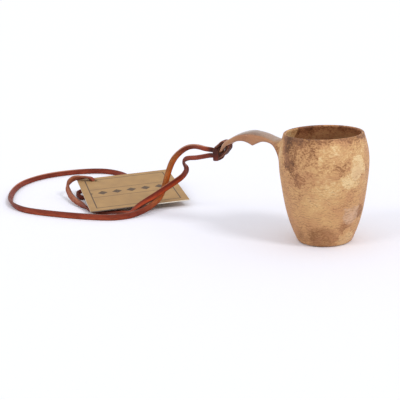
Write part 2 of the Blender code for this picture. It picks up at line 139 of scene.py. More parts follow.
# Free lace: places on its middle line and the way its width points, and the rows between
# which each strand widens
UPPER_WIDENS = (1, 4)
LOWER_WIDENS = (4, 8)
UPPER_STRAND = [
    (-72.6, 1.5, 44.1, -0.1, -0.1, 1),
    (-78.5, 5.2, 43.6, -0.25, -0.25, 0.9),
    (-86.8, 10.6, 41.4, -0.45, -0.45, 0.7),
    (-94.9, 15.6, 37.1, -0.6, -0.5, 0.5),
    (-101.8, 19.8, 31.8, -0.72, -0.52, 0.4),
    (-107.5, 23.4, 24.6, -0.8, -0.5, 0.25),
    (-111.5, 25.2, 16.4, -0.85, -0.5, 0.15),
    (-114.0, 25.2, 10.4, -0.85, -0.45, 0.3),
    (-114.0, 20.8, 7.2, -0.7, -0.35, 0.6),
    (-113.8, 13.8, 5.2, -0.5, -0.2, 0.8),
    (-114.6, 7.0, 3.8, -0.3, -0.1, 1),
]
FLOOR_LOOP = [
    (-118.2, -0.2, 2.2, 0, 0, 1),
    (-124.3, -8.0, 1.6, 0, 0, 1),
    (-137.5, -13.0, 1.6, 0, 0, 1),
    (-153.6, -15.2, 1.6, 0, 0.05, 1),
    (-171.0, -16.0, 1.6, 0, 0.05, 1),
    (-189.5, -14.4, 1.6, -0.1, 0, 1),
    (-204.4, -6.8, 1.7, -0.4, -0.2, 0.9),
    (-217.6, 7.2, 1.7, -0.55, -0.3, 0.75),
    (-228.6, 25.0, 1.7, -0.4, -0.2, 0.9),
    (-234.4, 43.0, 1.6, -0.1, 0, 1),
    (-232.5, 60.7, 1.6, 0.1, -0.1, 1),
    (-224.4, 74.0, 1.6, 0.1, -0.15, 1),
    (-213.5, 83.1, 1.6, 0.05, -0.15, 1),
    (-201.6, 87.7, 1.6, 0, -0.1, 1),
    (-187.9, 85.6, 1.6, 0, 0, 1),
    (-175.8, 78.8, 1.6, 0, 0, 1),
    (-167.6, 69.8, 2.1, 0, 0, 1),
    (-163.3, 62.8, 3.3, 0, 0, 1),
    (-160.7, 57.55, 4.1, 0, 0, 1),
]
LOWER_STRAND = [
    (-72.5, 1.2, 39.0, 0, 0, -1),
    (-78.6, 3.8, 37.5, 0, 0, -1),
    (-85.2, 7.0, 36.0, 0.25, -0.43, -0.87),
    (-88.9, 9.3, 33.7, 0.5, -0.86, -0.1),
    (-90.0, 11.6, 31.1, 0.4, -0.9, 0.15),
    (-90.6, 14.7, 28.3, -0.1, -0.8, 0.5),
    (-93.4, 18.0, 24.8, -0.4, -0.7, 0.5),
    (-98.7, 21.6, 20.5, -0.6, -0.35, 0.7),
    (-104.7, 23.1, 16.6, -0.5, -0.29, 0.8),
    (-111.6, 20.9, 11.8, -0.5, -0.2, 0.8),
    (-114.8, 15.4, 9.0, -0.7, -0.1, 0.6),
    (-117.4, 10.6, 7.0, -0.9, 0, 0.35),
    (-119.8, 6.4, 4.9, -0.95, 0.2, 0.2),
]
TAG_LOOP = [
    (-123.2, 4.0, 2.0, -0.7, 0.6, 0),
    (-128.2, 4.6, 0.8, -0.3, 0.9, 0),
    (-133.5, 3.8, 0.8, -0.35, 0.9, 0),
    (-139.5, 0.8, 0.8, -0.3, 0.9, 0),
    (-146.5, -0.2, 0.8, 0.2, 0.9, -0.1),
    (-153.0, 2.2, 1.2, 0.4, 0.8, -0.4),
    (-159.0, 5.4, 2.0, 0.15, 0.2, -0.9),
    (-166.0, 9.2, 2.5, -0.3, -0.3, -0.85),
    (-175.0, 15.6, 3.1, -0.44, -0.45, -0.75),
    (-183.4, 22.9, 5.2, -0.35, -0.3, -0.9),
    (-187.0, 27.6, 7.9, -0.2, -0.1, -1),
    (-186.0, 32.0, 10.4, -0.1, 0.4, -0.9),
    (-180.8, 35.0, 11.1, 0, 0.85, -0.5),
    (-175.7, 36.9, 10.5, 0, 1, -0.2),
]
TAG_TAIL = [
    (-173.7, 37.9, 6.5, 0.2, 1, 0),
    (-171.6, 41.0, 5.4, 0.8, 0.6, 0),
    (-168.0, 47.6, 5.4, 0.8, 0.5, -0.2),
    (-163.2, 52.3, 5.6, 0.5, 0.6, -0.6),
]

# Real lengths of the lace from the hitch to the knot, in metres
UPPER_LENGTH = 0.369
LOWER_LENGTH = 0.207

# Knot under the tag
KNOT_CENTRE = (-158.0, 52.0, 4.1)
KNOT_HEADING = math.radians(-125.4)
KNOT_RADIUS = 3.4
KNOT_SWING = 1.6
KNOT_RISE = 1.8
KNOT_WIDTH = 2.6
KNOT_THICKNESS = 1.9
KNOT_OPENING = 0.24
KNOT_TURNS = 24
KNOT_WAY = (0.1, 0.1, 1.0)
KNOT_LONG_TAIL = [
    (25.6, 1.0, 0.7),
    (28.4, 0.2, -0.7),
    (28.2, 3.4, -2.4),
    (21.1, 5.3, -2.45),
    (13.3, 1.9, -0.8),
    (8.0, -1.4, 1.4),
    (3.2, -0.8, 2.4),
]
KNOT_SHORT_TAIL = [
    (3.0, 1.4, -2.3),
    (8.0, 4.2, -2.4),
    (12.0, 6.4, -2.4),
]

# Card tag
TAG_SIDE = 60
TAG_THICKNESS = 0.6
TAG_HOLE_RADIUS = 2.6
TAG_HOLE_WAY = (0.0, 1.0, -0.1)
TAG_HOLE_FROM_SIDE = 9.8
TAG_HOLE_FROM_BACK = 5.2
TAG_CENTRE = Vector((-142.5, 33.7, 6.5))
TAG_HEADING = math.radians(43.6)
TAG_LIFT = math.radians(5.7)
TAG_BANK = math.radians(1.0)
HOLE_PATCH = 4
HALF_CELL = 0.5
FLAT_NORMAL = 0.5


def spline(knots, rows):
    """Natural cubic through rows at knots, as a function of an array of knot values."""
    knots = np.asarray(knots, float)
    rows = np.asarray(rows, float)
    count = len(knots)
    step = np.diff(knots)
    system = np.eye(count)
    right = np.zeros(rows.shape)
    rise = np.diff(rows, axis=0) / step[:, None]
    for i in range(1, count - 1):
        system[i, i - 1:i + 2] = step[i - 1], 2.0 * (step[i - 1] + step[i]), step[i]
        right[i] = 6.0 * (rise[i] - rise[i - 1])
    bend = np.linalg.solve(system, right)

    def value(t):
        t = np.atleast_1d(t)
        i = np.clip(np.searchsorted(knots, t) - 1, 0, count - 2)
        h = step[i][:, None]
        a = (knots[i + 1] - t)[:, None] / h
        b = 1.0 - a
        curve = (a ** 3 - a) * bend[i] + (b ** 3 - b) * bend[i + 1]
        return a * rows[i] + b * rows[i + 1] + curve * h * h / 6.0

    return value


def arc(centre, radius, start, end, count):
    """Points of an arc in a plane, angles in radians."""
    angles = np.linspace(start, end, count + 1)
    return np.column_stack([centre[0] + radius * np.cos(angles), centre[1] + radius * np.sin(angles)])


def add_object(name, data):
    """New object in the scene."""
    made = bpy.data.objects.new(name, data)
    bpy.context.collection.objects.link(made)
    return made


def mesh_piece(name, verts, faces, materials):
    """Smooth object from points in millimetres."""
    mesh = bpy.data.meshes.new(name)
    mesh.from_pydata((np.asarray(verts) * MM).tolist(), [], [list(map(int, face)) for face in faces])
    bm = bmesh.new()
    bm.from_mesh(mesh)
    bmesh.ops.recalc_face_normals(bm, faces=bm.faces)
    bm.to_mesh(mesh)
    bm.free()
    mesh.shade_smooth()
    for mat in materials:
        mesh.materials.append(mat)
    return add_object(name, mesh)


# Cup: a field of distances, meshed where it is zero

def flat_distance(outline, on_axis=False):
    """Signed distance to a closed outline, negative inside, looked up from a fine table.
    With on_axis the stretch along the first axis's zero isn't an edge."""
    outline = np.asarray(outline, float)
    low = outline.min(axis=0) - TABLE_MARGIN
    high = outline.max(axis=0) + TABLE_MARGIN
    if on_axis:
        low[0] = 0.0
    u, v = np.meshgrid(np.arange(low[0], high[0], TABLE_STEP),
                       np.arange(low[1], high[1], TABLE_STEP), indexing="ij")
    nearest = np.full(u.shape, np.inf)
    inside = np.zeros(u.shape, bool)
    for start, end in zip(outline, np.roll(outline, -1, axis=0)):
        run = end - start
        length = run @ run
        if length == 0.0:
            continue
        crosses = (start[1] > v) != (end[1] > v)
        if run[1] != 0.0:
            inside ^= crosses & (u < start[0] + (v - start[1]) * run[0] / run[1])
        if on_axis and start[0] == 0.0 and end[0] == 0.0:
            continue
        share = np.clip(((u - start[0]) * run[0] + (v - start[1]) * run[1]) / length, 0.0, 1.0)
        gap = (u - start[0] - share * run[0]) ** 2 + (v - start[1] - share * run[1]) ** 2
        nearest = np.minimum(nearest, gap)
    table = np.where(inside, -1.0, 1.0) * np.sqrt(nearest)

    def look(p, q):
        i = np.clip((p - low[0]) / TABLE_STEP, 0.0, table.shape[0] - 1.001)
        j = np.clip((q - low[1]) / TABLE_STEP, 0.0, table.shape[1] - 1.001)
        i0 = i.astype(int)
        j0 = j.astype(int)
        a = i - i0
        b = j - j0
        near = table[i0, j0] * (1.0 - b) + table[i0, j0 + 1] * b
        far = table[i0 + 1, j0] * (1.0 - b) + table[i0 + 1, j0 + 1] * b
        return near * (1.0 - a) + far * a

    return look


def outside_radius():
    """Outside radius of the cup as a function of height, above the foot's fillet."""
    heights = [FOOT_FILLET * (1.0 - math.sin(FOOT_FLARE))]
    radii = [BASE_RADIUS + FOOT_FILLET * math.cos(FOOT_FLARE)]
    for radius, height in FLANK + [(BELLY_RADIUS, BELLY_HEIGHT)]:
        heights.append(height)
        radii.append(radius)
    for share in (0.5, 1.0):
        heights.append(BELLY_HEIGHT + share * (CUP_HEIGHT - BELLY_HEIGHT))
        radii.append(BELLY_RADIUS + (RIM_RADIUS - BELLY_RADIUS) * share ** 2)
    flank = spline(heights, np.array(radii)[:, None])
    return lambda height: flank(height)[:, 0]


def inside_radius(radius, height):
    """Inside radius: the wall thins evenly from the belly to the lip."""
    share = np.maximum(0.0, (height - BELLY_HEIGHT) / (CUP_HEIGHT - BELLY_HEIGHT))
    return radius(height) - WALL_THICKNESS - (LIP_THICKNESS - WALL_THICKNESS) * share


def cup_outlines():
    """Half outlines of the filled cup and of its hollow, as radius and height."""
    radius = outside_radius()
    lip = LIP_THICKNESS / 2.0
    lip_height = CUP_HEIGHT - lip
    lip_middle = (float(radius(lip_height)[0]) - lip, lip_height)
    foot_height = FOOT_FILLET * (1.0 - math.sin(FOOT_FLARE))
    dish_height = FLOOR_THICKNESS + INNER_FILLET
    dish_radius = float(inside_radius(radius, np.array([dish_height]))[0])
    flank = np.linspace(foot_height, lip_height, 60)[1:-1]
    wall = np.linspace(lip_height, dish_height, 40)[1:-1]
    filled = np.vstack([
        [(0.0, 0.0)],
        arc((BASE_RADIUS, FOOT_FILLET), FOOT_FILLET, -math.pi / 2.0, -FOOT_FLARE, 8),
        np.column_stack([radius(flank), flank]),
        arc(lip_middle, lip, 0.0, math.pi / 2.0, 8),
        [(0.0, CUP_HEIGHT)],
    ])
    hollow_top = CUP_HEIGHT + 2.0 * TABLE_MARGIN
    hollow = np.vstack([
        [(0.0, hollow_top), (lip_middle[0], hollow_top)],
        arc(lip_middle, lip, math.pi / 2.0, math.pi, 8),
        np.column_stack([inside_radius(radius, wall), wall]),
        arc((dish_radius - INNER_FILLET, dish_height), INNER_FILLET, 0.0, -math.pi / 2.0, 12),
        [(0.0, FLOOR_THICKNESS)],
    ])
    return filled, hollow


def rib_places(rib):
    """Top and underside of a rib on the cup's mid plane."""
    top_reach, top_drop, low_reach, low_drop, _ = rib
    return (np.array((-BELLY_RADIUS - top_reach, 0.0, CUP_HEIGHT - top_drop)),
            np.array((-BELLY_RADIUS - low_reach, 0.0, CUP_HEIGHT - low_drop)))


def handle_outlines():
    """Outline of the handle from the side, as x and z, and from above, as x and y."""
    knots = np.arange(len(HANDLE_RIBS))
    ends = [rib_places(rib) for rib in HANDLE_RIBS]
    lows = np.array([low for _, low in ends])
    top = spline(knots, [top for top, _ in ends])
    half = spline(knots, [(rib[4],) for rib in HANDLE_RIBS])
    root_arch = spline(knots[:POINTED_RIB + 1], lows[:POINTED_RIB + 1])
    tip_arch = spline(knots[POINTED_RIB:], lows[POINTED_RIB:])
    last = len(HANDLE_RIBS) - 1
    along = np.linspace(0.0, last, last * RIB_STEPS + 1)
    root = along[along <= POINTED_RIB]
    tip = along[along > POINTED_RIB]
    under = np.vstack([root_arch(root), tip_arch(tip)])
    over = top(along)
    side = np.vstack([over[:, [0, 2]], under[::-1][:, [0, 2]]])
    x = (over[:, 0] + under[:, 0]) / 2.0
    y = half(along)[:, 0]
    plan = np.vstack([np.column_stack([x, y]), np.column_stack([x, -y])[::-1]])
    return side, plan


def handle_sections():
    """Half the handle's thickness and half its width, as a function of x."""
    rows = []
    for rib in HANDLE_RIBS[::-1]:
        top, low = rib_places(rib)
        rows.append(((top[0] + low[0]) / 2.0, np.linalg.norm(top - low) / 2.0, rib[4]))
    x, thick, wide = np.array(rows).T
    return lambda place: (np.interp(place, x, thick), np.interp(place, x, wide))


def hole_frame():
    """Hole in the handle's tip: its middle, the way to the tip and the way out of the top."""
    top, low = rib_places(HANDLE_RIBS[HOLE_RIB])
    out = (top - low) / np.linalg.norm(top - low)
    return (top + low) / 2.0, np.array((-out[2], 0.0, out[0])), out


def both(a, b, rounding):
    """Where two fields overlap, the edge between them rounded."""
    corner = np.hypot(np.maximum(a + rounding, 0.0), np.maximum(b + rounding, 0.0))
    return np.minimum(np.maximum(a, b), -rounding) + corner


def either(a, b, rounding):
    """Two fields joined, with a fillet between them."""
    return -both(-a, -b, rounding)


def cup_field():
    """Distance from the wood's surface, negative inside, for an array of places."""
    filled_outline, hollow_outline = cup_outlines()
    side_outline, plan_outline = handle_outlines()
    filled = flat_distance(filled_outline, on_axis=True)
    hollow = flat_distance(hollow_outline, on_axis=True)
    side = flat_distance(side_outline)
    plan = flat_distance(plan_outline)
    sections = handle_sections()
    centre, _, out = hole_frame()

    def field(p):
        radius = np.hypot(p[:, 0], p[:, 1])
        thick, wide = sections(p[:, 0])
        share = np.minimum(np.abs(p[:, 1]) / wide, CROWN_SHARE)
        fall = HANDLE_CROWN * thick * share ** SECTION_POWER
        crowned = np.maximum(side(p[:, 0], p[:, 2]), side(p[:, 0], p[:, 2] + fall))
        handle = both(crowned, plan(p[:, 0], p[:, 1]), HANDLE_ROUNDING)
        wood = either(filled(radius, p[:, 2]), handle, ROOT_FILLET)
        wood = np.maximum(wood, -hollow(radius, p[:, 2]))
        from_hole = p - centre
        along = from_hole @ out
        bore = np.sqrt(np.maximum((from_hole ** 2).sum(axis=1) - along ** 2, 0.0)) - HOLE_RADIUS
        bore = np.maximum(bore, np.abs(along) - HOLE_CUT)
        return both(wood, -bore, HOLE_ROUNDING)

    return field


def net(field, low, high, step):
    """Quads round the zero of a field, one point for each grid cell that it crosses."""
    axes = [np.arange(a, b, step) for a, b in zip(low, high)]
    grid = np.stack(np.meshgrid(*axes, indexing="ij"), axis=-1)
    inside = (field(grid.reshape(-1, 3)) < 0.0).reshape(grid.shape[:3])
    size = [n - 1 for n in inside.shape]
    corners = []
    for x, y, z in itertools.product((0, 1), repeat=3):
        corners.append(inside[x:x + size[0], y:y + size[1], z:z + size[2]])
    mixed = np.any(corners, axis=0) & ~np.all(corners, axis=0)
    index = np.full(mixed.shape, -1)
    index[mixed] = np.arange(mixed.sum())
    verts = np.asarray(low) + (np.argwhere(mixed) + 0.5) * step
    faces = []
    for axis in range(3):
        first = (axis + 1) % 3
        second = (axis + 2) % 3
        change = np.diff(inside.astype(int), axis=axis)
        places = np.argwhere(change != 0)
        leaving = change[change != 0] < 0
        quad = []
        for a, b in ((-1, -1), (0, -1), (0, 0), (-1, 0)):
            cell = places.copy()
            cell[:, first] += a
            cell[:, second] += b
            quad.append(index[tuple(cell.T)])
        quad = np.column_stack(quad)
        quad[~leaving] = quad[~leaving][:, ::-1]
        faces.append(quad)
    return verts, np.vstack(faces)


def settle(verts, field):
    """Points moved onto the zero of a field."""
    nudge = 0.02
    least_slope = 0.25
    for _ in range(2):
        here = field(verts)
        slope = []
        for axis in range(3):
            offset = np.zeros(3)
            offset[axis] = nudge
            slope.append((field(verts + offset) - field(verts - offset)) / (2.0 * nudge))
        slope = np.column_stack(slope)
        size = np.maximum((slope ** 2).sum(axis=1), least_slope)
        verts = verts - (here / size)[:, None] * slope
    return verts


def relax(verts, faces):
    """Points moved to the middle of their neighbours."""
    total = np.zeros(verts.shape)
    count = np.zeros(len(verts))
    for a, b in ((0, 1), (1, 2), (2, 3), (3, 0)):
        for p, q in ((faces[:, a], faces[:, b]), (faces[:, b], faces[:, a])):
            np.add.at(total, p, verts[q])
            np.add.at(count, p, 1.0)
    return total / count[:, None]


def make_cup():
    field = cup_field()
    wide = BELLY_RADIUS + NET_MARGIN
    low = (-wide - HANDLE_RIBS[-1][0], -wide, -NET_MARGIN)
    high = (wide, wide, CUP_HEIGHT + NET_MARGIN)
    verts, faces = net(field, low, high, NET_STEP)
    verts = settle(verts, field)
    for _ in range(RELAX_ROUNDS):
        verts = settle(relax(verts, faces), field)
    cup = mesh_piece("cup_carved", verts, faces, [wood()])
    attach(cup, "cup_body")
    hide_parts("cup")
    return cup


# Lace: one curve from the knot round the table to the hitch and back

def free_rows(rows, widening=None):
    """Places, ways and widths. The lace widens between the two rows that widening names."""
    widths = np.full(len(rows), LACE_WIDTH)
    if widening:
        widths = np.interp(np.arange(len(rows)), widening, (STRAND_WIDTH, LACE_WIDTH))
    return [(np.array(row[:3]), np.array(row[3:]), width) for row, width in zip(rows, widths)]


def exit_places():
    """Where the upper and the lower strand leave the hitch."""
    centre, _, _ = hole_frame()
    pivot = centre[0] - PIVOT_REACH
    return (np.array((pivot, 0.0, centre[2] - UPPER_EXIT_DROP)),
            np.array((pivot, 0.0, centre[2] - LOWER_EXIT_DROP)))


def hitch_half(exit_place, hand):
    """Hitch from a strand's exit to the loop's end: under the tip, up through the hole,
    over the tip and down past its side. Rows are distances to the tip, across and out
    of the top, the way of the width, and the width."""
    centre, to_tip, out = hole_frame()
    side = np.array((0.0, 1.0, 0.0))
    rows = [
        (11.4 - 0.8 * hand, 1.15, 2.25 + 0.85 * hand, (-0.66 * hand, 0.2 * hand, 0.75 * hand), 2.5),
        (9.1 - 0.45 * hand, 1.25, 0.25 * hand - 0.8, (-0.48 * hand, 0.7 * hand, 0.51 * hand), 2.2),
        (6.4, 1.3, -2.6, (0.0, hand, 0.0), 2.6),
        (4.0, 1.3, -2.5, (0.0, hand, 0.0), 2.6),
        (1.6, 1.3, -2.1, (0.0, hand, 0.0), 2.6),
        (0.2, 1.3, 0.0, (0.0, hand, 0.0), 2.2),
        (1.4, 1.3, 2.1, (0.0, hand, 0.0), 2.2),
        (4.0, 1.35, 2.5, (0.0, hand, 0.0), 2.2),
        (6.4, 1.9, 2.4, (0.25, hand, 0.1), 2.4),
        (7.7, 2.9, 1.4, (0.8, 0.5 * hand, 0.4), 2.9),
        (8.7, 3.6, -0.3, (1.0, 0.0, 0.3), 3.4),
        (10.4, 3.25, -1.7, (0.85, 0.1 * hand, 0.55), 3.1),
    ]
    route = [(exit_place, np.array((0.0, 0.0, hand)), STRAND_WIDTH)]
    for along, across, up, way, width in rows:
        place = centre + to_tip * along + side * across * hand + out * up
        route.append((place, to_tip * way[0] + side * way[1] + out * way[2], width))
    return route


def hitch_rows():
    """Cow hitch: the lace's middle goes up through the hole and closes round the strands."""
    centre, to_tip, out = hole_frame()
    upper_exit, lower_exit = exit_places()
    loop_end = centre + to_tip * LOOP_END_REACH - out * LOOP_END_DROP
    way = to_tip * LOOP_END_WAY[0] + out * LOOP_END_WAY[1]
    middle = [(loop_end, way, LOOP_END_WIDTH)]
    return hitch_half(upper_exit, 1.0) + middle + hitch_half(lower_exit, -1.0)[::-1]


def lace_curve(route):
    """Smooth curve through a route of (place, way of its width, width) rows, with its knots."""
    rows = np.array([(*place, *way, width) for place, way, width in route])
    chords = np.linalg.norm(np.diff(rows[:, :3], axis=0), axis=1)
    knots = np.concatenate([[0.0], np.cumsum(chords)])
    return spline(knots, rows), knots


def strip_frames(curve, stations):
    """Middles, ways across, ways through and widths of a strip that stays on the table."""
    nudge = 0.01
    rows = curve(stations)
    along = curve(stations + nudge)[:, :3] - curve(stations - nudge)[:, :3]
    along /= np.linalg.norm(along, axis=1)[:, None]
    across = rows[:, 3:6] - along * (rows[:, 3:6] * along).sum(axis=1)[:, None]
    across /= np.linalg.norm(across, axis=1)[:, None]
    through = np.cross(along, across)
    width = rows[:, 6]
    middle = rows[:, :3].copy()
    half_height = (np.abs(across[:, 2]) * width + np.abs(through[:, 2]) * LACE_THICKNESS) / 2.0
    middle[:, 2] = np.maximum(middle[:, 2], half_height + TABLE_GAP)
    return middle, across, through, width


def strip_section(width, thickness):
    """Rounded rectangle with slightly crowned faces, and 1 where it is a cut edge."""
    w = width / 2.0
    t = thickness / 2.0
    c = LACE_CORNER
    points = []
    edge = []
    face = np.linspace(-1.0, 1.0, 7)[1:-1]
    for turn, (x, y) in enumerate(((1, 1), (-1, 1), (-1, -1), (1, -1))):
        start = turn * math.pi / 2.0
        corner = arc((x * (w - c), y * (t - c)), c, start, start + math.pi / 2.0, 3)
        points += corner.tolist()
        edge += [1.0, 1.0, 0.6, 0.0] if turn % 2 == 0 else [0.0, 0.6, 1.0, 1.0]
        if turn % 2 == 0:
            run = face[::-1] * (w - c) * x
            crown = LACE_CROWN * (1.0 - face ** 2)
            points += np.column_stack([run, y * (t + crown)]).tolist()
            edge += [0.0] * len(face)
    return np.array(points), np.array(edge)


def strip(name, curve, start, end, step, mat, thickness=LACE_THICKNESS):
    """Flat lace along a stretch of a curve."""
    stations = np.linspace(start, end, max(2, round((end - start) / step)) + 1)
    middle, across, through, width = strip_frames(curve, stations)
    verts = []
    edges = []
    places = []
    for i, station in enumerate(stations):
        section, edge = strip_section(width[i], thickness)
        verts.append(middle[i] + np.outer(section[:, 0], across[i]) + np.outer(section[:, 1], through[i]))
        edges.append(edge)
        share = section / (width[i] / 2.0, thickness / 2.0)
        places.append(np.column_stack([share, np.full(len(section), station)]))
    sides = len(verts[0])
    faces = [tuple(range(sides))]
    for i in range(len(stations) - 1):
        for j in range(sides):
            k = (j + 1) % sides
            faces.append((i * sides + j, (i + 1) * sides + j, (i + 1) * sides + k, i * sides + k))
    last = (len(stations) - 1) * sides
    faces.append(tuple(range(last + sides - 1, last - 1, -1)))
    piece = mesh_piece(name, np.vstack(verts), faces, [mat])
    piece.data.set_sharp_from_angle(angle=SHARP_ANGLE)
    cut = piece.data.attributes.new("cut_edge", "FLOAT", "POINT")
    cut.data.foreach_set("value", np.concatenate(edges).astype(np.float32))
    along = piece.data.attributes.new("strip_place", "FLOAT_VECTOR", "POINT")
    along.data.foreach_set("vector", np.vstack(places).astype(np.float32).ravel())
    return piece


def path_points(curve, start, end):
    """Middle line of a stretch of lace, in metres."""
    stations = np.linspace(start, end, round(abs(end - start) / PATH_STEP) + 1)
    return (strip_frames(curve, stations)[0] * MM).tolist()


def make_lace(mat, knot):
    """Hitch, and the two cords that run from it to the knot."""
    floor_loop = free_rows(FLOOR_LOOP)[::-1]
    upper_strand = free_rows(UPPER_STRAND, UPPER_WIDENS)[::-1]
    hitch = hitch_rows()
    lower_strand = free_rows(LOWER_STRAND, LOWER_WIDENS)
    hole = [(tag_hole(), np.array(TAG_HOLE_WAY), LACE_WIDTH)]
    tag_loop = free_rows(TAG_LOOP) + hole + free_rows(TAG_TAIL)
    curve, knots = lace_curve(floor_loop + upper_strand + hitch + lower_strand + tag_loop)
    upper_exit = len(floor_loop) + len(upper_strand)
    lower_exit = upper_exit + len(hitch) - 1
    upper_cut = knots[upper_exit + 2]
    lower_cut = knots[lower_exit - 2]

    wrap = strip("lace_hitch_wrap", curve, upper_cut, lower_cut, HITCH_STEP, mat)
    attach(wrap, "cup_body")
    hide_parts("lace_hitch")

    upper = strip("lace_upper", curve, 0.0, upper_cut, STRAND_STEP, mat)
    lower = strip("lace_lower", curve, lower_cut, knots[-1], STRAND_STEP, mat)
    upper_path = path_points(curve, upper_cut, 0.0)
    lower_path = path_points(curve, lower_cut, knots[-1])
    upper_place, lower_place = exit_places()
    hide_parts("lace_upper_strand", "lace_floor_loop")
    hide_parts("lace_lower_strand", "lace_tag_loop")
    cords = ((upper, upper_place, upper_path, UPPER_LENGTH, [knot, wrap]),
             (lower, lower_place, lower_path, LOWER_LENGTH, []))
    for cord, place, path, length, others in cords:
        start = (place + np.array((BEND_LEAD, 0.0, 0.0))) * MM
        end = (place + np.array((BEND_LEAD - BEND_RUN, 0.0, 0.0))) * MM
        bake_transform(cord)
        tuple(place * MM)


def make_knot(mat):
    """Overhand knot: a trefoil opened at one lobe, its two tails crossing as they leave."""
    lobe = KNOT_RADIUS + KNOT_SWING
    places = [(lobe + x, y, z) for x, y, z in KNOT_LONG_TAIL]
    for t in np.linspace(KNOT_OPENING, 2.0 * math.pi - KNOT_OPENING, KNOT_TURNS + 1):
        radius = KNOT_RADIUS + KNOT_SWING * math.cos(3.0 * t)
        places.append((radius * math.cos(2.0 * t), radius * math.sin(2.0 * t),
                       KNOT_RISE * math.sin(3.0 * t)))
    places += [(lobe + x, y, z) for x, y, z in KNOT_SHORT_TAIL]
    turn = np.array(Matrix.Rotation(KNOT_HEADING, 3, "Z"))
    way = np.array(KNOT_WAY)
    route = [(np.array(KNOT_CENTRE) + turn @ np.array(place), way, KNOT_WIDTH) for place in places]
    curve, knots = lace_curve(route)
    knot = strip("lace_overhand_knot", curve, 0.0, knots[-1], KNOT_STEP, mat, KNOT_THICKNESS)
    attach(knot, "lanyard")
    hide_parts("lace_knot")
    return knot


# Tag

def tag_axes():
    """The tag's own axes: along its back edge, towards its back edge, and out of its face."""
    along = Vector((math.cos(TAG_HEADING) * math.cos(TAG_BANK),
                    math.sin(TAG_HEADING) * math.cos(TAG_BANK), math.sin(TAG_BANK)))
    back = Vector((-math.sin(TAG_HEADING) * math.cos(TAG_LIFT),
                   math.cos(TAG_HEADING) * math.cos(TAG_LIFT), math.sin(TAG_LIFT)))
    back = (back - along * back.dot(along)).normalized()
    return along, back, along.cross(back)


def tag_hole():
    """Middle of the tag's hole."""
    along, back, _ = tag_axes()
    place = (TAG_CENTRE + along * (TAG_HOLE_FROM_SIDE - TAG_SIDE / 2.0)
             + back * (TAG_SIDE / 2.0 - TAG_HOLE_FROM_BACK))
    return np.array(place)


def make_tag():
    """Square card with a punched hole, a millimetre grid bridged to the hole's ring."""
    half = TAG_SIDE / 2.0
    hole = Vector((TAG_HOLE_FROM_SIDE - half, half - TAG_HOLE_FROM_BACK, 0.0))
    bm = bmesh.new()
    bmesh.ops.create_grid(bm, x_segments=TAG_SIDE, y_segments=TAG_SIDE, size=half)
    middle = Vector((round(hole.x), round(hole.y), 0.0))
    gone = []
    for face in bm.faces:
        offset = face.calc_center_median() - middle
        if max(abs(offset.x), abs(offset.y)) < HOLE_PATCH:
            gone.append(face)
    bmesh.ops.delete(bm, geom=gone, context="FACES")
    rim = [edge for edge in bm.edges if edge.is_boundary
           and all(max(map(abs, vert.co - middle)) < HOLE_PATCH + HALF_CELL for vert in edge.verts)]
    sides = len(rim)
    ring = [bm.verts.new(hole + TAG_HOLE_RADIUS * Vector((math.cos(a), math.sin(a), 0.0)))
            for a in np.linspace(0.0, 2.0 * math.pi, sides, endpoint=False)]
    circle = [bm.edges.new((ring[i], ring[(i + 1) % sides])) for i in range(sides)]
    bmesh.ops.bridge_loops(bm, edges=rim + circle)
    bmesh.ops.solidify(bm, geom=bm.faces[:], thickness=TAG_THICKNESS)
    bmesh.ops.recalc_face_normals(bm, faces=bm.faces)
    for face in bm.faces:
        face.material_index = 0 if abs(face.normal.z) > FLAT_NORMAL else 1
    low = min(vert.co.z for vert in bm.verts)
    high = max(vert.co.z for vert in bm.verts)
    for vert in bm.verts:
        vert.co.z -= (low + high) / 2.0
    mesh = bpy.data.meshes.new("tag_card")
    bm.to_mesh(mesh)
    bm.free()
    mesh.transform(Matrix.Scale(MM, 4))
    mesh.materials.append(card_face())
    mesh.materials.append(card_edge())
    tag = add_object("tag_card", mesh)
    along, back, out = tag_axes()
    place = Matrix((along, back, out)).transposed().to_4x4()
    place.translation = TAG_CENTRE * MM
    tag.matrix_world = place
    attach(tag, "tag")
    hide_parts("hang_tag")


# Materials

# Colour sockets of a Mix node
MIX_UNDER = 6
MIX_OVER = 7
MIX_RESULT = 2


